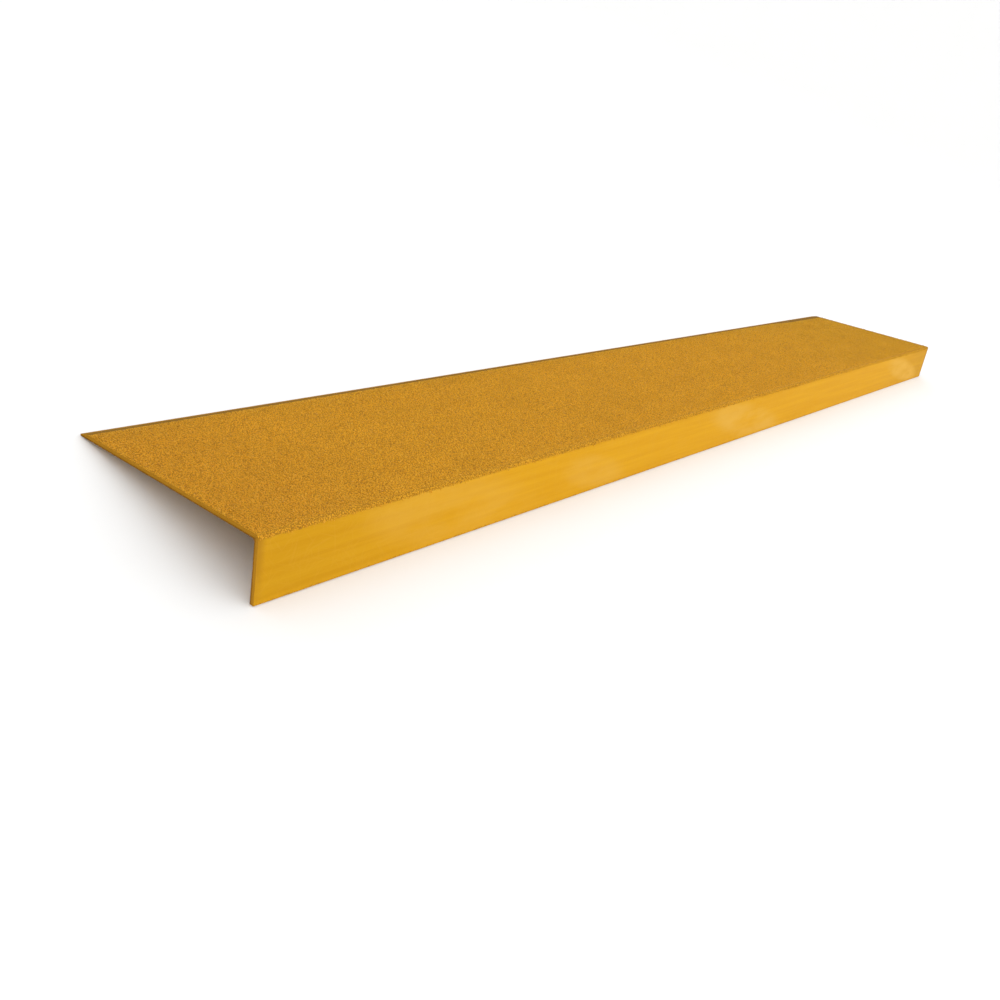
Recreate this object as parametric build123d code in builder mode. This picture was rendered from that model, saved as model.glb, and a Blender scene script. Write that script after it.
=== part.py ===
from build123d import *
import os
from math import atan2, cos, sin

# Anti-slip stair nosing: one angle of glass-reinforced plastic, moulded in a single piece.
# It lies as it is put down, tread upwards, on the riser's foot and the tread's back edge.
# X runs along the nosing, Y from the nose to the back edge, and Z up from the floor.

# Driving dimensions, in millimetres
length = 1500.0
tread_depth = 225.0
riser_height = 55.0
wall = 4.0
nose_radius = 3.0
throat_radius = 3.0
bevel_width = 8.0
back_edge_thickness = 1.6

# The section is drawn from the inner corner of the foot: u towards the back edge, v up the riser.
riser_front = -wall
back = tread_depth - wall
underside = riser_height - wall
back_edge_top = underside + back_edge_thickness

foot_front = (riser_front, 0)
nose = (riser_front, riser_height)
bevel_start = (back - bevel_width, riser_height)
back_top = (back, back_edge_top)
back_bottom = (back, underside)
throat = (0, underside)
foot_back = (0, 0)

# The foot's inner corner and the lower corner of the back edge both touch the floor, so the section
# leans back by the slope of the line between them.
lean = atan2(underside, back)


def along_floor(point):
    """Distance along the floor from the foot's inner corner to a point of the leaning section."""
    u, v = point
    return u * cos(lean) + v * sin(lean)


# The outline reaches from the front of the foot to the top of the back edge, and its middle is at Y = 0.
foot_y = -(along_floor(foot_front) + along_floor(back_top)) / 2
section_plane = Plane(origin=(-length / 2, foot_y, 0), x_dir=(0, cos(lean), -sin(lean)), z_dir=(1, 0, 0))

with BuildPart() as nosing:
    with BuildSketch(section_plane) as section:
        with BuildLine():
            Polyline(foot_front, nose, bevel_start, back_top, back_bottom, throat, foot_back, close=True)
        make_face()
        fillet(section.vertices().sort_by_distance(nose)[0], radius=nose_radius)
        fillet(section.vertices().sort_by_distance(throat)[0], radius=throat_radius)
    extrude(amount=length)

nosing.part.label = "nosing"

os.makedirs("parts", exist_ok=True)
export_step(nosing.part, "parts/nosing.step")
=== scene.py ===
import logging
import math
from dataclasses import dataclass, fields
from enum import Enum
from functools import reduce
from typing import Mapping, Optional, Sequence, Union

import bmesh
import bpy
import numpy as np
from mathutils import Matrix, Vector


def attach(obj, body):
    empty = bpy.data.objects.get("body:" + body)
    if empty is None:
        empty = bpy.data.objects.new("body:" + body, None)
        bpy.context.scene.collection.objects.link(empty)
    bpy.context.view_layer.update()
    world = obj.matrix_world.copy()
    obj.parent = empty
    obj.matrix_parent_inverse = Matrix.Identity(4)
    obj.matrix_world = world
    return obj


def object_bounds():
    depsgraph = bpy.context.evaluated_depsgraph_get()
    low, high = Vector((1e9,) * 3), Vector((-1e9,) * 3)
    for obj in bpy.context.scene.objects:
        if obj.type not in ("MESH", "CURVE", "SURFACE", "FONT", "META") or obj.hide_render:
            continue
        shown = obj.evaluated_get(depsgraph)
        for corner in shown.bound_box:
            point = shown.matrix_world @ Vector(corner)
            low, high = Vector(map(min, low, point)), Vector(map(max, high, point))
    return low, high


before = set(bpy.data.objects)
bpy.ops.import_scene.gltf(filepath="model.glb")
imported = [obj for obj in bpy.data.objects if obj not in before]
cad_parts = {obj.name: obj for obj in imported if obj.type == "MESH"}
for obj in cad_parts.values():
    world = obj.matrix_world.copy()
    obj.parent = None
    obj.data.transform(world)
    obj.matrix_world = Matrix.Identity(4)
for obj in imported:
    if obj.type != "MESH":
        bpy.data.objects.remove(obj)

# The looks of an anti-slip stair nosing: an angle of pigmented glass fibre, moulded in one piece with
# the grit of its tread. Everything is in metres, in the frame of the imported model: X along the nosing,
# Y from the nose to the back edge, Z up from the floor that it lies on.

CAD_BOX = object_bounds()
BODY = "root"
NODE = "nosing"
MM = 0.001

LOG = logging.getLogger("stair_nosing")

Colour = tuple[float, float, float]
Point = tuple[float, float, float]
Band = tuple[float, float]
Feed = Union["Wire", float, Sequence[float]]


@dataclass(frozen=True)
class Pattern:
    """A cloudy pattern, and how strongly it shows where it is used.

    Attributes:
        per_metre: Clouds to the metre.
        layers: Number of finer layers.
        fineness: Strength of the finer layers.
        drawn: Scale along the nosing, under 1 to stretch the clouds into streaks.
        shift: Added to the place before the pattern is read, so patterns of one kind differ.
        band: Values of the clouds where a mask begins to show, if the pattern is read as one.
        colour: How strongly the pattern mixes into a colour, if it is used for one.
        relief: How strongly the pattern raises or sinks the surface, if it is used for one.
        roughness: How strongly the pattern roughens the surface, if it is used for one.
    """

    per_metre: float
    layers: float = 2.0
    fineness: float = 0.5
    drawn: float = 1.0
    shift: Point = (0.0, 0.0, 0.0)
    band: Optional[Band] = None
    colour: float = 0.0
    relief: float = 0.0
    roughness: float = 0.0


@dataclass(frozen=True)
class Section:
    """The nosing's section as it lies, on its foot and its back edge.

    A point of the section has two coordinates: u from the back of the riser towards the back edge, and
    v from the foot up the riser.
    """

    length: float = 1500 * MM
    tread_depth: float = 225 * MM
    riser_height: float = 55 * MM
    wall: float = 4 * MM
    nose_radius: float = 3 * MM
    bevel_width: float = 8 * MM
    back_edge: float = 1.6 * MM
    bare_rim: float = 3.0 * MM
    worn_from: float = 540 * MM
    worn_run: float = 60 * MM
    worn_width: float = 6.0 * MM

    @property
    def back(self) -> float:
        """The u of the back edge."""
        return self.tread_depth - self.wall

    @property
    def underside(self) -> float:
        """The v of the tread's underside."""
        return self.riser_height - self.wall

    @property
    def bevel_start(self) -> float:
        """The u where the tread's top begins to slope down to the back edge."""
        return self.back - self.bevel_width

    @property
    def lean(self) -> float:
        """The angle that the tread leans back by, in radians."""
        return math.atan2(self.underside, self.back)

    @property
    def foot_y(self) -> float:
        """Finds where the foot stands.

        Returns:
            The Y of the riser's inner foot, with the middle of the outline at Y = 0.
        """
        front = -self.wall * math.cos(self.lean)
        rear = self.back * math.cos(self.lean) + (self.underside + self.back_edge) * math.sin(self.lean)
        return -(front + rear) / 2

    @property
    def towards_back(self) -> np.ndarray:
        """The direction of u in the model's frame."""
        return np.array([0.0, math.cos(self.lean), -math.sin(self.lean)])

    @property
    def up_riser(self) -> np.ndarray:
        """The direction of v in the model's frame."""
        return np.array([0.0, math.sin(self.lean), math.cos(self.lean)])

    def place(self, along: np.ndarray, u: np.ndarray, v: np.ndarray) -> np.ndarray:
        """Takes points of the section to the model's frame.

        Args:
            along: X of each point.
            u: Distance of each point behind the riser.
            v: Height of each point above the foot.

        Returns:
            One row of X, Y and Z for each point.
        """
        origin = np.array([0.0, self.foot_y, 0.0])
        points = origin + np.outer(u, self.towards_back) + np.outer(v, self.up_riser)
        points[:, 0] += along
        return points


@dataclass(frozen=True)
class Wire:
    """One output of a node, which takes part in expressions."""

    tree: "FinishTree"
    socket: bpy.types.NodeSocket

    def __add__(self, other: Feed) -> "Wire":
        """Sum of two values."""
        return self.tree.math("ADD", self, other)

    def __radd__(self, other: Feed) -> "Wire":
        """Sum of two values."""
        return self.tree.math("ADD", other, self)

    def __sub__(self, other: Feed) -> "Wire":
        """Difference of two values."""
        return self.tree.math("SUBTRACT", self, other)

    def __rsub__(self, other: Feed) -> "Wire":
        """Difference of two values."""
        return self.tree.math("SUBTRACT", other, self)

    def __mul__(self, other: Feed) -> "Wire":
        """Product of two values."""
        return self.tree.math("MULTIPLY", self, other)

    def __rmul__(self, other: Feed) -> "Wire":
        """Product of two values."""
        return self.tree.math("MULTIPLY", other, self)

    def least(self, other: Feed) -> "Wire":
        """The smaller of two values."""
        return self.tree.math("MINIMUM", self, other)

    def most(self, other: Feed) -> "Wire":
        """The larger of two values."""
        return self.tree.math("MAXIMUM", self, other)

    def size(self) -> "Wire":
        """The value without its sign."""
        return self.tree.math("ABSOLUTE", self)

    def rise(self, low: float, high: float) -> "Wire":
        """A mask of the value.

        Args:
            low: Value where the mask is 0.
            high: Value where the mask is 1.

        Returns:
            A smooth step from 0 to 1.
        """
        return self.tree.node(
            "ShaderNodeMapRange",
            {"interpolation_type": "SMOOTHSTEP"},
            {"Value": self, "From Min": low, "From Max": high, "To Min": 0.0, "To Max": 1.0},
        )

    def past(self, edge: float, band: Band) -> "Wire":
        """A mask of the value past an edge.

        Args:
            edge: The value at the edge.
            band: Where the mask is 0 and where it is 1, counted from the edge.

        Returns:
            A smooth step from 0 to 1.
        """
        low, high = band
        return self.rise(edge + low, edge + high)


class FinishTree:
    """The nodes of one material, ending in a Principled shader."""

    def __init__(self, name: str) -> None:
        """Starts an empty material.

        Args:
            name: Name of the material.
        """
        self.material = bpy.data.materials.new(name)
        self.material.use_nodes = True
        self.nodes = self.material.node_tree.nodes
        self.links = self.material.node_tree.links
        self.nodes.clear()

    @staticmethod
    def _find(sockets: bpy.types.NodeInputs, key: Union[str, int]) -> bpy.types.NodeSocket:
        """Finds a socket by its place, identifier or name.

        Args:
            sockets: The inputs or outputs of a node.
            key: The socket's place, identifier or name.

        Returns:
            The socket.
        """
        if isinstance(key, int):
            return sockets[key]
        return next((s for s in sockets if s.identifier == key), None) or sockets[key]

    def node(
        self,
        kind: str,
        settings: Optional[Mapping[str, object]] = None,
        sockets: Optional[Mapping[Union[str, int], Feed]] = None,
        out: Union[str, int] = 0,
    ) -> Wire:
        """Adds any node.

        Args:
            kind: The node's type.
            settings: Its properties, set first, if it has any.
            sockets: The values or links of its inputs, if it has any.
            out: The output that is wanted.

        Returns:
            That output.
        """
        made = self.nodes.new(kind)
        for name, value in (settings or {}).items():
            setattr(made, name, value)
        for key, value in (sockets or {}).items():
            target = self._find(made.inputs, key)
            if isinstance(value, Wire):
                self.links.new(value.socket, target)
            elif target.type == "RGBA":
                target.default_value = (*value, 1.0)
            else:
                target.default_value = value
        return Wire(self, self._find(made.outputs, out))

    def math(self, operation: str, *values: Feed) -> Wire:
        """Adds a Math node on values."""
        return self.node("ShaderNodeMath", {"operation": operation}, dict(enumerate(values)))

    def blend(self, factor: Feed, low: Feed, high: Feed) -> Wire:
        """Mixes two colours.

        Args:
            factor: 0 for low, 1 for high.
            low: First colour.
            high: Second colour.

        Returns:
            The mixed colour.
        """
        sockets = {"Factor_Float": factor, "A_Color": low, "B_Color": high}
        return self.node("ShaderNodeMix", {"data_type": "RGBA"}, sockets, "Result_Color")

    def shade(self, colour: Feed, strength: Feed) -> Wire:
        """Multiplies a colour by a grey value.

        Args:
            colour: The colour.
            strength: The value, 1 to leave the colour as it is.

        Returns:
            The darker or lighter colour.
        """
        sockets = {"Vector": colour, "Scale": strength}
        return self.node("ShaderNodeVectorMath", {"operation": "SCALE"}, sockets)

    def vary(self, colour: Feed, pattern: Wire, by: float) -> Wire:
        """Makes a colour lighter and darker with a pattern.

        Args:
            colour: The colour.
            pattern: The pattern, from 0 to 1.
            by: How far apart the darkest and the lightest are, as a share of the colour.

        Returns:
            The uneven colour.
        """
        return self.shade(colour, (1 - by / 2) + by * pattern)

    def tint(self, colour: Feed, mask: Feed, by: Feed) -> Wire:
        """Multiplies a colour by another.

        Args:
            colour: The colour.
            mask: 0 to leave the colour as it is, 1 to multiply it fully.
            by: The colour that it is multiplied by.

        Returns:
            The tinted colour.
        """
        sockets = {"Factor_Float": mask, "A_Color": colour, "B_Color": by}
        settings = {"data_type": "RGBA", "blend_type": "MULTIPLY"}
        return self.node("ShaderNodeMix", settings, sockets, "Result_Color")

    def spot(self, section: Section) -> "Spot":
        """Finds where a surface point lies on the nosing.

        Args:
            section: The nosing's section.

        Returns:
            The point's place and distances.
        """
        sockets = {
            "Vector": self.node("ShaderNodeTexCoord", out="Object"),
            "Location": (0.0, section.foot_y, 0.0),
            "Rotation": (-section.lean, 0.0, 0.0),
        }
        place = self.node("ShaderNodeMapping", {"vector_type": "TEXTURE"}, sockets)
        split = {"Vector": place}
        along, u, v = (self.node("ShaderNodeSeparateXYZ", sockets=split, out=axis) for axis in "XYZ")
        return Spot(place, along, u, v, from_end=section.length / 2 - along.size())

    def pattern(self, place: Wire, pattern: Pattern) -> Wire:
        """Reads a pattern, as a plain value, or as a mask if it has a band.

        Args:
            place: Where it is read.
            pattern: The pattern.

        Returns:
            The value or the mask.
        """
        where = place
        if pattern.drawn != 1.0 or any(pattern.shift):
            sockets = {"Vector": place, "Scale": (pattern.drawn, 1.0, 1.0), "Location": pattern.shift}
            where = self.node("ShaderNodeMapping", {"vector_type": "POINT"}, sockets)
        sockets = {
            "Vector": where,
            "Scale": pattern.per_metre,
            "Detail": pattern.layers,
            "Roughness": pattern.fineness,
        }
        clouds = self.node("ShaderNodeTexNoise", sockets=sockets)
        return clouds.rise(*pattern.band) if pattern.band else clouds

    def bump(self, height: Wire, depth: float) -> Wire:
        """A normal bent by a height.

        Args:
            height: The height, as a share of depth.
            depth: Depth of the relief, in metres.

        Returns:
            The normal.
        """
        sockets = {"Strength": 1.0, "Distance": depth, "Height": height}
        return self.node("ShaderNodeBump", sockets=sockets)

    def finish(self, sockets: Mapping[str, Feed]) -> bpy.types.Material:
        """Adds the Principled shader and the output.

        Args:
            sockets: Values and links of the shader's inputs.

        Returns:
            The finished material.
        """
        surface = self.node("ShaderNodeBsdfPrincipled", sockets=sockets)
        end = self.nodes.new("ShaderNodeOutputMaterial")
        self.links.new(surface.socket, end.inputs["Surface"])
        return self.material


@dataclass(frozen=True)
class Spot:
    """Where a surface point lies on the nosing.

    Attributes:
        place: Vector of X along the nosing, u and v.
        along: Distance from the middle of the nosing.
        u: Distance behind the riser.
        v: Height above the foot.
        from_end: Distance from the nearer sawn end.
    """

    place: Wire
    along: Wire
    u: Wire
    v: Wire
    from_end: Wire


@dataclass(frozen=True)
class ChoppedStrands:
    """Glass strands chopped short, which lie in all directions in the sheet."""

    clouds: Pattern = Pattern(480.0, 1.0, 0.4, band=(0.60, 0.72))
    turns: tuple[float, ...] = (0.25, 0.80, 1.35, 1.90, 2.45, 3.00)
    stretch: float = 16.0

    def mask(self, tree: FinishTree, spot: Spot) -> Wire:
        """Lays the strands over one another.

        Args:
            tree: The material's nodes.
            spot: Where the surface point lies.

        Returns:
            A mask of the strands.
        """
        sheet = {"X": spot.along, "Y": spot.u - spot.v, "Z": 0.0}
        unrolled = tree.node("ShaderNodeCombineXYZ", sockets=sheet)
        layers = []
        for turn in self.turns:
            sockets = {
                "Vector": unrolled,
                "Location": (turn, -turn, 0.0),
                "Rotation": (0.0, 0.0, turn),
                "Scale": (1.0, self.stretch, 1.0),
            }
            turned = tree.node("ShaderNodeMapping", {"vector_type": "TEXTURE"}, sockets)
            layers.append(tree.pattern(turned, self.clouds))
        return reduce(Wire.most, layers)


@dataclass(frozen=True)
class DustAndSheenPatch:
    """A slanting patch of the riser's face painted pale, partly as dust and partly as painted sheen."""

    along: float
    height: float
    half_length: float
    half_height: float
    strength: float
    slant: float = -0.22
    fade: Band = (0.15, 1.0)

    def mask(self, spot: Spot) -> Wire:
        """Works out the patch.

        Args:
            spot: Where the surface point lies.

        Returns:
            A mask with soft edges.
        """
        from_middle = spot.along - self.along
        across = from_middle * (1 / self.half_length)
        up = (spot.v - (self.height + from_middle * self.slant)) * (1 / self.half_height)
        return (1 - (across * across + up * up).rise(*self.fade)) * self.strength


@dataclass(frozen=True)
class MouldedFace:
    """The satin face of the riser and the nose, with its rovings, pale patches of dust and painted sheen,
    painted shade towards the sawn ends, darkening at the foot and small damage.
    """

    plain: Colour = (0.703, 0.357, 0.012)
    pale: Colour = (0.722, 0.402, 0.060)
    deep: Colour = (0.657, 0.314, 0.008)
    laid_bare: Colour = (0.420, 0.190, 0.012)
    roughness: float = 0.48
    rovings: Pattern = Pattern(210.0, 3.0, 0.6, drawn=0.030, relief=0.04, roughness=0.10)
    roving_band: Band = (0.30, 0.75)
    peel: Pattern = Pattern(420.0, relief=0.05)
    scratches: Pattern = Pattern(
        1500.0, drawn=0.012, shift=(0.0, 0.0, 0.61), band=(0.66, 0.74),
        colour=0.30, relief=-0.03, roughness=0.08,
    )
    pinholes: Pattern = Pattern(1500.0, 0.0, band=(0.17, 0.22), colour=0.55, relief=-0.20)
    chips: Pattern = Pattern(340.0, 3.0, 0.6, band=(0.52, 0.60), colour=0.60, relief=-0.35)
    chipped_foot: Band = (0.4 * MM, 2.4 * MM)
    strand_colour: float = 0.10
    strand_relief: float = 0.05
    # Darker towards the foot, over this band.
    foot_band: Band = (0.5 * MM, 6.0 * MM)
    foot_darkening: float = 0.45
    end_band: Band = (1.0 * MM, 9.0 * MM)
    end_soiling: float = 0.75
    end_soiled_from: float = -25 * MM
    # Painted shade: the face is darkened towards both sawn ends, over this run.
    end_shade_run: float = 260 * MM
    end_shading: float = 0.13
    # Clouds that break up the pale patches of dust and painted sheen.
    dust_and_sheen: Pattern = Pattern(
        46.0, 4.0, 0.6, drawn=0.30, shift=(0.37, 0.0, 0.0), band=(0.22, 0.66), roughness=0.10
    )
    # Pale patches, partly dust and partly painted sheen.
    dust_and_sheen_patches: tuple[DustAndSheenPatch, ...] = (
        DustAndSheenPatch(-540 * MM, 27 * MM, 140 * MM, 45 * MM, 0.40),
        DustAndSheenPatch(-325 * MM, 20 * MM, 70 * MM, 22 * MM, 0.50),
        DustAndSheenPatch(25 * MM, 22 * MM, 130 * MM, 27 * MM, 0.85),
        DustAndSheenPatch(632 * MM, 25 * MM, 110 * MM, 22 * MM, 1.00),
    )

    def paint(
        self, tree: FinishTree, spot: Spot, section: Section, strands: Wire
    ) -> tuple[Wire, Wire, Wire]:
        """Works out the face.

        Args:
            tree: The material's nodes.
            spot: Where the surface point lies.
            section: The nosing's section.
            strands: Mask of the glass strands under the resin.

        Returns:
            Colour, relief and roughness.
        """
        rovings = tree.pattern(spot.place, self.rovings)
        peel = tree.pattern(spot.place, self.peel)
        scratches = tree.pattern(spot.place, self.scratches)
        pinholes = 1 - tree.pattern(spot.place, self.pinholes)
        chips = (1 - spot.v.rise(*self.chipped_foot)) * tree.pattern(spot.place, self.chips)
        pits = (pinholes * self.pinholes.colour).most(chips * self.chips.colour)
        # Pale patches, partly dust and partly painted sheen.
        dust_and_sheen = reduce(Wire.most, [patch.mask(spot) for patch in self.dust_and_sheen_patches])
        dust_and_sheen = dust_and_sheen * tree.pattern(spot.place, self.dust_and_sheen)
        foot = 1 - spot.v.rise(*self.foot_band)
        up_riser = spot.v.rise(self.end_soiled_from, section.riser_height)
        near_end = (1 - spot.from_end.rise(*self.end_band)) * up_riser
        # Painted shade, darker towards both sawn ends.
        end_shade = 1 - spot.from_end.rise(0.0, self.end_shade_run)

        colour = tree.blend(rovings.rise(*self.roving_band), self.deep, self.plain)
        colour = tree.shade(colour, 1 - self.end_shading * end_shade)
        colour = tree.blend(dust_and_sheen, colour, self.pale)
        colour = tree.blend(strands * self.strand_colour, colour, self.pale)
        # Darker towards the foot.
        colour = tree.blend(foot * self.foot_darkening, colour, self.deep)
        colour = tree.blend(near_end * self.end_soiling, colour, self.laid_bare)
        colour = tree.blend(scratches * self.scratches.colour, colour, self.pale)
        colour = tree.blend(pits, colour, self.laid_bare)

        relief = rovings * self.rovings.relief + peel * self.peel.relief + strands * self.strand_relief
        relief = relief + scratches * self.scratches.relief
        relief = relief + pinholes * self.pinholes.relief + chips * self.chips.relief
        roughness = self.roughness + rovings * self.rovings.roughness + dust_and_sheen * self.dust_and_sheen.roughness
        roughness = roughness + scratches * self.scratches.roughness
        return colour, relief, roughness


@dataclass(frozen=True)
class TreadTop:
    """The tread's top under the grit: resin with grains worn flush, and along the back edge a bare rim and
    the bevel, both painted dark as shade.
    """

    flush_grain: Colour = (0.730, 0.350, 0.023)
    gap: Colour = (0.370, 0.168, 0.014)
    # Painted shade: the bare rim and the bevel are painted dark along the back edge.
    rim_shade: Colour = (0.255, 0.130, 0.020)
    bevel: Colour = (0.380, 0.185, 0.014)
    worn_grains: float = 570.0
    worn_band: Band = (0.06, 0.20)
    worn_relief: float = 0.7
    flecks: Pattern = Pattern(900.0, 3.0, 0.6, colour=0.36, relief=0.5)
    rim_shade_unevenness: float = 0.50
    bevel_marks: Pattern = Pattern(1200.0, 3.0, drawn=0.04, colour=0.40)
    rougher: float = 0.20
    rim_rougher: float = 0.10

    def bed(self, tree: FinishTree, spot: Spot) -> tuple[Wire, Wire]:
        """Works out the bed of the grit.

        Args:
            tree: The material's nodes.
            spot: Where the surface point lies.

        Returns:
            Colour and relief.
        """
        flecks = tree.pattern(spot.place, self.flecks)
        sockets = {"Vector": spot.place, "Scale": self.worn_grains}
        cells = tree.node("ShaderNodeTexVoronoi", {"feature": "DISTANCE_TO_EDGE"}, sockets)
        worn = cells.rise(*self.worn_band)
        colour = tree.vary(tree.blend(worn, self.gap, self.flush_grain), flecks, self.flecks.colour)
        return colour, flecks * self.flecks.relief + worn * self.worn_relief

    def rim(self, tree: FinishTree, spot: Spot) -> Wire:
        """The colour of the bare rim by the bevel, painted dark as shade."""
        return tree.vary(self.rim_shade, tree.pattern(spot.place, self.flecks), self.rim_shade_unevenness)

    def slope(self, tree: FinishTree, spot: Spot) -> Wire:
        """The colour of the bevel, painted darker as shade."""
        return tree.vary(self.bevel, tree.pattern(spot.place, self.bevel_marks), self.bevel_marks.colour)


@dataclass(frozen=True)
class RawBack:
    """The unfaced side of the laminate, where the chopped strands show."""

    resin: Colour = (0.470, 0.225, 0.010)
    strand: Colour = (0.640, 0.390, 0.075)
    clouds: Pattern = Pattern(22.0, 3.0, colour=0.40)
    dry: Pattern = Pattern(6.0, band=(0.40, 0.75), colour=0.30)
    strand_colour: float = 0.22
    strand_relief: float = 0.55
    rougher: float = 0.10

    def paint(self, tree: FinishTree, spot: Spot, strands: Wire) -> Wire:
        """Works out the back.

        Args:
            tree: The material's nodes.
            spot: Where the surface point lies.
            strands: Mask of the strands.

        Returns:
            Colour.
        """
        clouds = tree.pattern(spot.place, self.clouds)
        shown = self.strand_colour + tree.pattern(spot.place, self.dry) * self.dry.colour
        return tree.blend(strands * shown, tree.vary(self.resin, clouds, self.clouds.colour), self.strand)


@dataclass(frozen=True)
class SawnEnd:
    """The sawn end, with the plies of the laminate cut across, and painted shade along its inner edge."""

    core: Colour = (0.420, 0.190, 0.012)
    # Painted shade: the dark colour along the inner edge of the sawn wall.
    rim: Colour = (0.230, 0.100, 0.010)
    strand: Colour = (0.640, 0.390, 0.075)
    plies_per_metre: float = 1400.0
    breaks_per_metre: float = 60.0
    plies: Pattern = Pattern(1.0, colour=0.70)
    strand_ends: Pattern = Pattern(2600.0, 1.0, band=(0.55, 0.75), colour=0.35)
    rim_band: Band = (0.45, 0.95)
    rougher: float = 0.30

    def paint(self, tree: FinishTree, spot: Spot, section: Section) -> Wire:
        """Works out the end.

        Args:
            tree: The material's nodes.
            spot: Where the surface point lies.
            section: The nosing's section.

        Returns:
            Colour.
        """
        below_top = section.riser_height - spot.v
        depth = (spot.u + section.wall).least(below_top)
        run = spot.u + below_top
        sockets = {"X": depth * self.plies_per_metre, "Y": run * self.breaks_per_metre, "Z": 0.0}
        plies = tree.pattern(tree.node("ShaderNodeCombineXYZ", sockets=sockets), self.plies)
        ends = tree.pattern(spot.place, self.strand_ends)
        colour = tree.vary(self.core, plies, self.plies.colour)
        colour = tree.blend(ends * self.strand_ends.colour, colour, self.strand)
        # Painted shade, darkest at the inner edge of the wall.
        low, high = self.rim_band
        return tree.blend(depth.rise(section.wall * low, section.wall * high), colour, self.rim)


@dataclass(frozen=True)
class GlassFibreFinish:
    """Pigmented glass fibre, each side of it finished in its own way.

    A band says where one finish gives way to the next, and a wander how far that edge strays.
    """

    section: Section
    strands: ChoppedStrands = ChoppedStrands()
    face: MouldedFace = MouldedFace()
    top: TreadTop = TreadTop()
    back: RawBack = RawBack()
    end: SawnEnd = SawnEnd()
    wander: Pattern = Pattern(260.0)
    top_wander: float = 2.0 * MM
    top_band: Band = (-4.4 * MM, -2.4 * MM)
    rim_wander: float = 2.4 * MM
    rim_band: Band = (-0.8 * MM, 0.8 * MM)
    bevel_wander: float = 1.2 * MM
    bevel_band: Band = (0.2 * MM, 2.2 * MM)
    skin_band: Band = (-0.15 * MM, -0.05 * MM)
    underside_band: Band = (0.05 * MM, 0.15 * MM)
    end_band: Band = (0.06 * MM, 0.12 * MM)
    roughest: float = 0.92
    relief_depth: float = 0.35 * MM
    specular: float = 0.03

    def build(self) -> bpy.types.Material:
        """Makes the material.

        Returns:
            The material of the moulded body.
        """
        tree = FinishTree("pigmented_glass_fibre")
        s = self.section
        spot = tree.spot(s)
        strands = self.strands.mask(tree, spot)
        wander = tree.pattern(spot.place, self.wander) - 0.5
        on_top = (spot.v + wander * self.top_wander).past(s.riser_height, self.top_band)
        worn = spot.along.rise(s.worn_from, s.worn_from + s.worn_run) * s.worn_width
        bare_from = s.bevel_start - s.bare_rim
        on_rim = (spot.u + worn + wander * self.rim_wander).past(bare_from, self.rim_band) * on_top
        on_bevel = (spot.u + wander * self.bevel_wander).past(s.bevel_start, self.bevel_band)
        behind = spot.u.rise(*self.skin_band) * (1 - spot.v.past(s.underside, self.underside_band))
        at_end = 1 - spot.from_end.rise(*self.end_band)

        colour, relief, roughness = self.face.paint(tree, spot, s, strands)
        bed, bed_relief = self.top.bed(tree, spot)
        colour = tree.blend(on_top, colour, bed)
        # Painted shade along the back edge: the dark bare rim, then the darker bevel.
        colour = tree.blend(on_rim, colour, self.top.rim(tree, spot))
        colour = tree.blend(on_bevel, colour, self.top.slope(tree, spot))
        colour = tree.blend(behind, colour, self.back.paint(tree, spot, strands))
        # The sawn end, with painted shade along its inner edge.
        colour = tree.blend(at_end, colour, self.end.paint(tree, spot, s))

        relief = relief + on_top * bed_relief + behind * (strands * self.back.strand_relief)
        roughness = roughness + on_top * self.top.rougher + on_rim * self.top.rim_rougher
        roughness = roughness + behind * self.back.rougher + at_end * self.end.rougher
        return tree.finish({
            "Base Color": colour,
            "Roughness": roughness.least(self.roughest),
            "Specular IOR Level": self.specular,
            "Normal": tree.bump(relief, self.relief_depth),
        })


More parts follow.
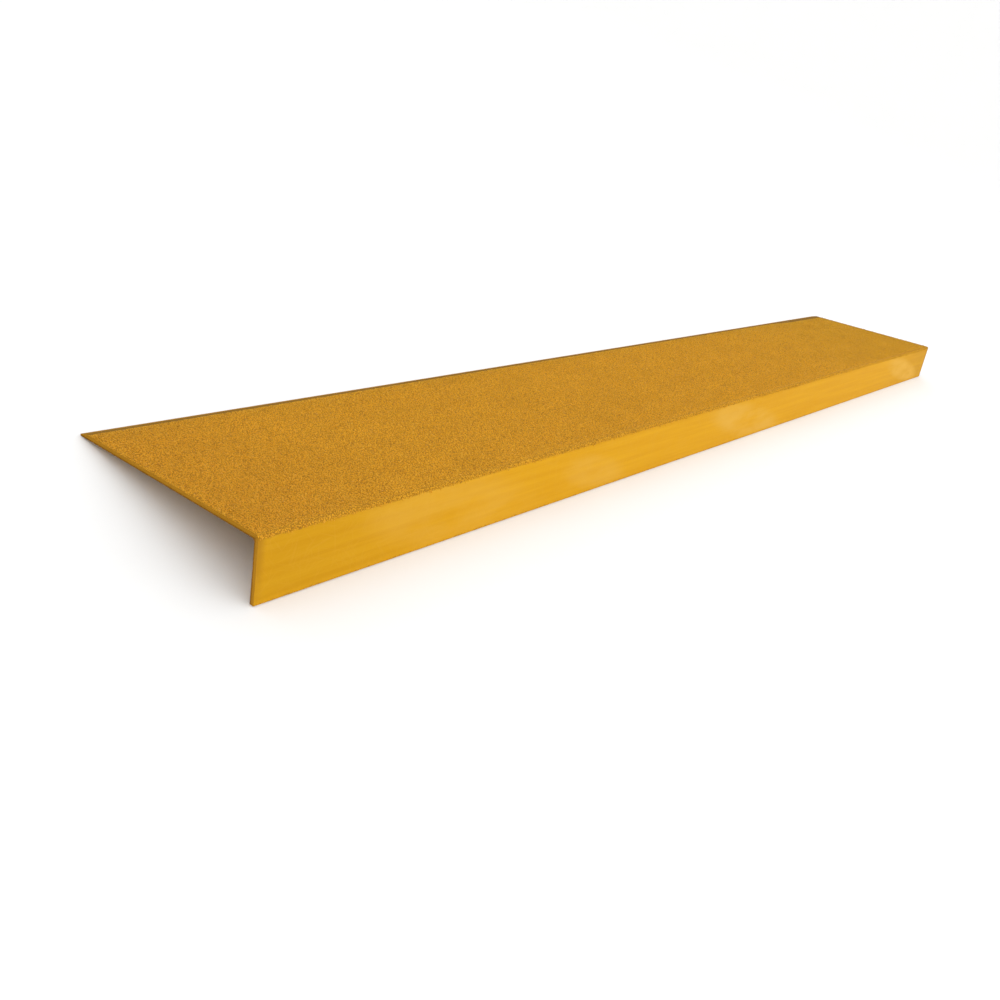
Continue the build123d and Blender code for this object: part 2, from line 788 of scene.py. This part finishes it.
@dataclass(frozen=True)
class GritFinish:
    """Crushed grit under a thin coat of the pigmented resin, with painted shade by the left end and the back
    edge, a painted sheen that shifts its hue paler towards the right end, and darker by the right end's edge.
    """

    section: Section
    coat: Colour = (0.752, 0.374, 0.023)
    thin_coat: Colour = (0.490, 0.229, 0.017)
    pale_coat: Colour = (0.775, 0.430, 0.042)
    # Painted shade by the left end.
    left_shade: Colour = (0.930, 0.890, 1.000)
    left_shade_run: float = 200 * MM
    # Painted sheen: the hue shifts paler towards the right end.
    right_sheen_tint: Colour = (0.920, 0.970, 1.000)
    right_sheen_tint_run: float = 650 * MM
    # Painted shade towards the back edge.
    back_shade: Colour = (0.920, 0.950, 1.000)
    back_shade_run: float = 32 * MM
    # Darker by the right end's edge.
    right_end_darkening: Colour = (0.720, 0.760, 0.850)
    right_end_darkening_run: float = 22 * MM
    clouds: Pattern = Pattern(34.0, 4.0, 0.6, drawn=0.6, colour=0.28)
    thin_band: Band = (0.82, 1.0)
    pale_band: Band = (0.80, 1.0)
    paleness: float = 0.6
    smoothest: float = 0.58
    roughness_spread: float = 0.20
    specular: float = 0.10
    tone_name: str = "tone"

    def build(self) -> bpy.types.Material:
        """Makes the material.

        Returns:
            The material of the grains.
        """
        tree = FinishTree("resin_coated_grit")
        place = tree.node("ShaderNodeTexCoord", out="Object")
        tone = tree.node("ShaderNodeAttribute", {"attribute_name": self.tone_name}, out="Fac")
        colour = tree.blend((1 - tone).rise(*self.thin_band), self.coat, self.thin_coat)
        colour = tree.blend(tone.rise(*self.pale_band) * self.paleness, colour, self.pale_coat)
        colour = tree.vary(colour, tree.pattern(place, self.clouds), self.clouds.colour)
        s = self.section
        spot = tree.spot(s)
        left_end, right_end = -s.length / 2, s.length / 2
        by_left = 1 - spot.along.rise(left_end, left_end + self.left_shade_run)
        by_right = spot.along.rise(right_end - self.right_sheen_tint_run, right_end)
        at_right = spot.along.rise(right_end - self.right_end_darkening_run, right_end)
        by_back = spot.u.rise(s.bevel_start - self.back_shade_run, s.bevel_start)
        # Painted shade by the left end.
        colour = tree.tint(colour, by_left, self.left_shade)
        # Painted sheen, paler towards the right end.
        colour = tree.tint(colour, by_right, self.right_sheen_tint)
        # Darker by the right end's edge.
        colour = tree.tint(colour, at_right, self.right_end_darkening)
        # Painted shade towards the back edge.
        colour = tree.tint(colour, by_back, self.back_shade)
        return tree.finish({
            "Base Color": colour,
            "Roughness": self.smoothest + self.roughness_spread * tone,
            "Specular IOR Level": self.specular,
        })


class GrainForm(Enum):
    """Shapes that crushed grains come in, by the number of sides round their waist."""

    SPLINTER = 3
    BLOCK = 4
    CHIP = 5


@dataclass(frozen=True)
class Grain:
    """One angular grain of unit width."""

    corners: np.ndarray
    faces: np.ndarray

    @classmethod
    def crush(cls, form: GrainForm, rng: np.random.Generator, unevenness: float = 0.16) -> "Grain":
        """Makes a grain by knocking the corners of a double pyramid about.

        Args:
            form: The grain's shape.
            rng: Source of the unevenness.
            unevenness: How far a corner moves, as a share of the width.

        Returns:
            The grain.
        """
        shape = bmesh.new()
        bmesh.ops.create_uvsphere(shape, u_segments=form.value, v_segments=2, radius=0.5)
        bmesh.ops.triangulate(shape, faces=shape.faces)
        bmesh.ops.recalc_face_normals(shape, faces=shape.faces)
        shape.verts.index_update()
        corners = np.array([corner.co[:] for corner in shape.verts])
        faces = np.array([[corner.index for corner in face.verts] for face in shape.faces])
        shape.free()
        return cls(corners + rng.uniform(-unevenness, unevenness, corners.shape), faces)


@dataclass(frozen=True)
class Scatter:
    """Where the grains lie and what each is like, one row for each grain."""

    centres: np.ndarray
    normals: np.ndarray
    turns: np.ndarray
    widths: np.ndarray
    lifts: np.ndarray
    tones: np.ndarray
    kinds: np.ndarray

    def pick(self, chosen: np.ndarray) -> "Scatter":
        """Some of the grains."""
        return Scatter(*(getattr(self, column.name)[chosen] for column in fields(self)))


@dataclass
class GritCoat:
    """The grit of the tread: joined grains, in bays along the nosing."""

    section: Section
    finish: GritFinish
    ceiling: float
    bays: int = 5
    spacing: float = 1.75 * MM
    mean_width: float = 1.58 * MM
    spread: float = 0.24
    narrowest: float = 0.85 * MM
    widest: float = 2.40 * MM
    wander: float = 0.46
    flattening: float = 0.30
    proudest: float = 0.90 * MM
    reach_of_corner: float = 0.66
    lift: Band = (-0.06, 0.16)
    missing: float = 0.02
    thins_from: float = 3.1 * MM
    runs_out_at: float = 6.9 * MM
    forms_of_each_kind: int = 8
    bake_map: str = "OFBake"
    seed: int = 4593

    def build(self) -> list[bpy.types.Object]:
        """Scatters the grains and joins each bay's into one piece.

        Returns:
            The pieces.
        """
        rng = np.random.default_rng(self.seed)
        grains = [Grain.crush(form, rng) for form in GrainForm for _ in range(self.forms_of_each_kind)]
        along, run = self._spots(rng)
        widths = self.mean_width * np.exp(self.spread * rng.standard_normal(len(along)))
        widths = np.clip(widths, self.narrowest, self.widest)
        inside = self._clear_of_edges(along, run, widths)
        along, run, widths = along[inside], run[inside], widths[inside]
        count = len(along)
        centres, normals = self._on_surface(along, run)
        scatter = Scatter(
            centres=centres,
            normals=normals,
            turns=self._turns(count, rng),
            widths=widths,
            lifts=widths * rng.uniform(*self.lift, count),
            tones=rng.random(count),
            kinds=rng.integers(0, len(grains), count),
        )
        bay_of = np.minimum(((along / self.section.length + 0.5) * self.bays).astype(int), self.bays - 1)
        material = self.finish.build()
        pieces = []
        for bay in range(self.bays):
            chosen = scatter.pick(bay_of == bay)
            corners, faces, tone = self._join(grains, chosen)
            piece = self._piece(f"grit_bay_{bay + 1}", corners, faces, tone)
            piece.data.materials.append(material)
            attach(piece, BODY)
            LOG.info("%s: %d grains, %d triangles", piece.name, len(chosen.widths), len(faces))
            pieces.append(piece)
        return pieces

    @property
    def flat_run(self) -> float:
        """Length of the tread's flat top, from the bevel to the nose."""
        return self.section.tread_depth - self.section.bevel_width - self.section.nose_radius

    def _spots(self, rng: np.random.Generator) -> tuple[np.ndarray, np.ndarray]:
        """Lays out the grains in uneven rows, thinning out round the nose.

        Args:
            rng: Source of the unevenness.

        Returns:
            X of each grain, and its distance from the bevel towards the nose.
        """
        row_gap = self.spacing * math.sqrt(3) / 2
        rows = np.arange(0.0, self.flat_run + self.runs_out_at, row_gap)
        columns = np.arange(-self.section.length / 2, self.section.length / 2, self.spacing)
        run, along = np.meshgrid(rows, columns, indexing="ij")
        along = along + (np.arange(len(rows)) % 2)[:, None] * self.spacing / 2
        run, along = run.ravel(), along.ravel()
        run = run + rng.uniform(-self.wander, self.wander, run.shape) * self.spacing
        along = along + rng.uniform(-self.wander, self.wander, along.shape) * self.spacing
        past_flat = run - self.flat_run
        thinning = (past_flat - self.thins_from) / (self.runs_out_at - self.thins_from)
        kept = rng.random(run.shape) > np.clip(thinning, self.missing, 1.0)
        return along[kept], run[kept]

    def _clear_of_edges(self, along: np.ndarray, run: np.ndarray, widths: np.ndarray) -> np.ndarray:
        """Picks the grains that the sawn ends and the bevel leave whole.

        Args:
            along: X of each grain.
            run: Distance of each grain from the bevel.
            widths: Width of each grain.

        Returns:
            A mask of the grains.
        """
        s = self.section
        half = widths * self.reach_of_corner
        worn = np.clip((along - s.worn_from) / s.worn_run, 0.0, 1.0) * s.worn_width
        return (np.abs(along) < s.length / 2 - half) & (run > half + s.bare_rim + worn)

    def _on_surface(self, along: np.ndarray, run: np.ndarray) -> tuple[np.ndarray, np.ndarray]:
        """Finds the surface under each grain.

        Args:
            along: X of each grain.
            run: Distance of each grain from the bevel.

        Returns:
            The point under each grain, and the surface's normal there.
        """
        s = self.section
        past_flat = np.clip(run - self.flat_run, 0.0, None)
        angle = np.minimum(past_flat / s.nose_radius, math.pi / 2)
        down_riser = past_flat - angle * s.nose_radius
        u = s.bevel_start - np.minimum(run, self.flat_run) - s.nose_radius * np.sin(angle)
        v = s.riser_height - s.nose_radius * (1 - np.cos(angle)) - down_riser
        normals = np.outer(np.cos(angle), s.up_riser) - np.outer(np.sin(angle), s.towards_back)
        return s.place(along, u, v), normals

    @staticmethod
    def _turns(count: int, rng: np.random.Generator) -> np.ndarray:
        """Turns each grain at random.

        Args:
            count: Number of grains.
            rng: Source of the turns.

        Returns:
            One rotation matrix for each grain.
        """
        q = rng.standard_normal((count, 4))
        w, x, y, z = (q / np.linalg.norm(q, axis=1)[:, None]).T
        rows = [
            [1 - 2 * (y * y + z * z), 2 * (x * y - w * z), 2 * (x * z + w * y)],
            [2 * (x * y + w * z), 1 - 2 * (x * x + z * z), 2 * (y * z - w * x)],
            [2 * (x * z - w * y), 2 * (y * z + w * x), 1 - 2 * (x * x + y * y)],
        ]
        return np.moveaxis(np.array(rows), 2, 0)

    def _join(self, grains: Sequence[Grain], scatter: Scatter) -> tuple[np.ndarray, np.ndarray, np.ndarray]:
        """Joins grains, each pressed down so that none stands too proud.

        Along the nose's crest they are trodden in further, and none rises above the moulded body.

        Args:
            grains: The shapes.
            scatter: The grains to join.

        Returns:
            Corners, triangles and the tone of each corner.
        """
        corners, faces, tone = [], [], []
        first = 0
        for kind, grain in enumerate(grains):
            mine = scatter.pick(scatter.kinds == kind)
            count, sides = len(mine.widths), len(grain.corners)
            offsets = np.einsum("nij,kj->nki", mine.turns, grain.corners) * mine.widths[:, None, None]
            rises = np.einsum("nki,ni->nk", offsets, mine.normals)
            heights = rises * (1 - self.flattening) + mine.lifts[:, None]
            heights -= np.clip(heights.max(axis=1) - self.proudest, 0.0, None)[:, None]
            offsets += (heights - rises)[:, :, None] * mine.normals[:, None, :]
            points = mine.centres[:, None, :] + offsets
            points[:, :, 2] -= np.clip(points[:, :, 2].max(axis=1) - self.ceiling, 0.0, None)[:, None]
            corners.append(points.reshape(-1, 3))
            starts = first + np.arange(count) * sides
            faces.append((grain.faces[None, :, :] + starts[:, None, None]).reshape(-1, 3))
            tone.append(np.repeat(mine.tones, sides))
            first += count * sides
        return np.concatenate(corners), np.concatenate(faces), np.concatenate(tone)

    def _unrolled(self, corners: np.ndarray) -> np.ndarray:
        """Lays a bay out flat, with its nose unrolled.

        Args:
            corners: Corners of the grains.

        Returns:
            Two coordinates from 0 to 1 for each corner: along the nosing, and from the bevel to the nose.
        """
        s = self.section
        from_foot = corners - np.array([0.0, s.foot_y, 0.0])
        run = s.bevel_start - from_foot @ s.towards_back + s.riser_height - from_foot @ s.up_riser
        flat = np.stack([corners[:, 0], run], axis=1)
        low, high = flat.min(axis=0), flat.max(axis=0)
        return (flat - low) / (high - low)

    def _piece(self, name: str, corners: np.ndarray, faces: np.ndarray, tone: np.ndarray) -> bpy.types.Object:
        """Makes one bay's mesh.

        Args:
            name: Name of the piece.
            corners: Corners of the grains.
            faces: Triangles of the grains.
            tone: Tone of each corner.

        Returns:
            The piece.
        """
        mesh = bpy.data.meshes.new(name)
        mesh.vertices.add(len(corners))
        mesh.vertices.foreach_set("co", corners.astype(np.float32).ravel())
        mesh.loops.add(faces.size)
        mesh.loops.foreach_set("vertex_index", faces.astype(np.int32).ravel())
        mesh.polygons.add(len(faces))
        mesh.polygons.foreach_set("loop_start", np.arange(0, faces.size, 3, dtype=np.int32))
        mesh.update(calc_edges=True)
        tones = mesh.attributes.new(self.finish.tone_name, "FLOAT", "POINT")
        tones.data.foreach_set("value", tone.astype(np.float32))
        unrolled = self._unrolled(corners)[faces.ravel()]
        bake_map = mesh.uv_layers.new(name=self.bake_map)
        bake_map.data.foreach_set("uv", unrolled.astype(np.float32).ravel())
        piece = bpy.data.objects.new(name, mesh)
        bpy.context.scene.collection.objects.link(piece)
        return piece


@dataclass
class Body:
    """The moulded angle itself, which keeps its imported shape."""

    finish: GlassFibreFinish

    def dress(self) -> bpy.types.Object:
        """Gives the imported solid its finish.

        Returns:
            The node's object.
        """
        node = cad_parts[NODE]
        material = self.finish.build()
        for holder in node.material_slots:
            holder.material = material
        LOG.info("%s: %d triangles, as packed", node.name, len(node.data.polygons))
        return node


@dataclass(frozen=True)
class SoftBox:
    """A large soft lamp that faces a point."""

    name: str
    place: Point
    aim: Point
    width: float
    height: float
    power: float

    def build(self) -> bpy.types.Object:
        """Makes the lamp.

        Returns:
            The lamp's object.
        """
        lamp = bpy.data.lights.new(self.name, "AREA")
        lamp.shape = "RECTANGLE"
        lamp.size = self.width
        lamp.size_y = self.height
        lamp.energy = self.power
        made = bpy.data.objects.new(self.name, lamp)
        made.location = self.place
        made.rotation_euler = (Vector(self.aim) - Vector(self.place)).to_track_quat("-Z", "Y").to_euler()
        bpy.context.scene.collection.objects.link(made)
        return made


@dataclass
class Studio:
    """Pale floor, soft light and the camera."""

    floor_radius: float = 7.0
    cove_radius: float = 3.0
    wall_height: float = 3.0
    cove_steps: int = 12
    round_steps: int = 96
    weld: float = 0.1 * MM
    floor_colour: Colour = (0.945, 0.945, 0.94)
    floor_roughness: float = 0.9
    sky_colour: Colour = (1.0, 1.0, 1.0)
    sky_strength: float = 1.13
    eye: Point = (-1.15954, -0.50827, 0.46223)
    sight: Point = (0.754174, 0.440584, -0.486937)
    roll: float = math.radians(22.0352)
    lens: float = 36.242
    sensor: float = 36.0
    nearest: float = 10 * MM
    lamps: tuple[SoftBox, ...] = (
        SoftBox(
            "front_lamp", place=(0.70, -2.50, 1.45), aim=(0.15, 0.0, 0.0), width=2.6, height=1.3, power=14.0
        ),
    )

    def build(self) -> None:
        """Makes the floor, the light and the camera."""
        self._floor()
        self._sky()
        for lamp in self.lamps:
            lamp.build()
        self._camera()
        view = bpy.context.scene.view_settings
        view.view_transform = "Standard"
        view.look = "None"

    def _floor(self) -> None:
        """Lays the floor, which curves up into a round wall far off, so that no horizon shows."""
        shape = bmesh.new()
        middle = shape.verts.new((0.0, 0.0, 0.0))
        rim = shape.verts.new((self.floor_radius, 0.0, 0.0))
        shape.edges.new((middle, rim))
        hub = (self.floor_radius, 0.0, self.cove_radius)
        quarter = math.radians(90)
        bend = bmesh.ops.spin(
            shape, geom=[rim], cent=hub, axis=(0.0, -1.0, 0.0), angle=quarter, steps=self.cove_steps
        )
        tops = [part for part in bend["geom_last"] if isinstance(part, bmesh.types.BMVert)]
        raised = bmesh.ops.extrude_vert_indiv(shape, verts=tops)
        bmesh.ops.translate(shape, verts=raised["verts"], vec=(0.0, 0.0, self.wall_height))
        bmesh.ops.spin(
            shape, geom=shape.verts[:] + shape.edges[:], cent=(0.0, 0.0, 0.0), axis=(0.0, 0.0, 1.0),
            angle=math.radians(360), steps=self.round_steps, use_merge=True,
        )
        bmesh.ops.remove_doubles(shape, verts=shape.verts, dist=self.weld)
        mesh = bpy.data.meshes.new("floor")
        shape.to_mesh(mesh)
        shape.free()
        mesh.shade_smooth()
        finish = {"Base Color": self.floor_colour, "Roughness": self.floor_roughness}
        mesh.materials.append(FinishTree("pale_floor").finish(finish))
        floor = bpy.data.objects.new("floor", mesh)
        bpy.context.scene.collection.objects.link(floor)

    def _sky(self) -> None:
        """Lights the scene evenly from all round."""
        world = bpy.data.worlds.new("studio")
        world.use_nodes = True
        sky = world.node_tree.nodes["Background"]
        sky.inputs["Color"].default_value = (*self.sky_colour, 1.0)
        sky.inputs["Strength"].default_value = self.sky_strength
        bpy.context.scene.world = world

    def _camera(self) -> None:
        """Stands the camera where the nosing is seen along its length, from the nose's left end."""
        lens = bpy.data.cameras.new("camera")
        lens.lens = self.lens
        lens.sensor_width = self.sensor
        lens.clip_start = self.nearest
        camera = bpy.data.objects.new("camera", lens)
        level = Vector(self.sight).to_track_quat("-Z", "Y").to_matrix()
        turn = level @ Matrix.Rotation(self.roll, 3, "Z")
        camera.matrix_world = Matrix.Translation(self.eye) @ turn.to_4x4()
        bpy.context.scene.collection.objects.link(camera)
        bpy.context.scene.camera = camera


def main() -> None:
    """Dresses the nosing, coats its tread with grit and sets the studio round it."""
    logging.basicConfig(level=logging.INFO, format="%(name)s: %(message)s")
    section = Section()
    Body(GlassFibreFinish(section)).dress()
    GritCoat(section, GritFinish(section), ceiling=CAD_BOX[1][2]).build()
    Studio().build()


if __name__ == "__main__":
    main()
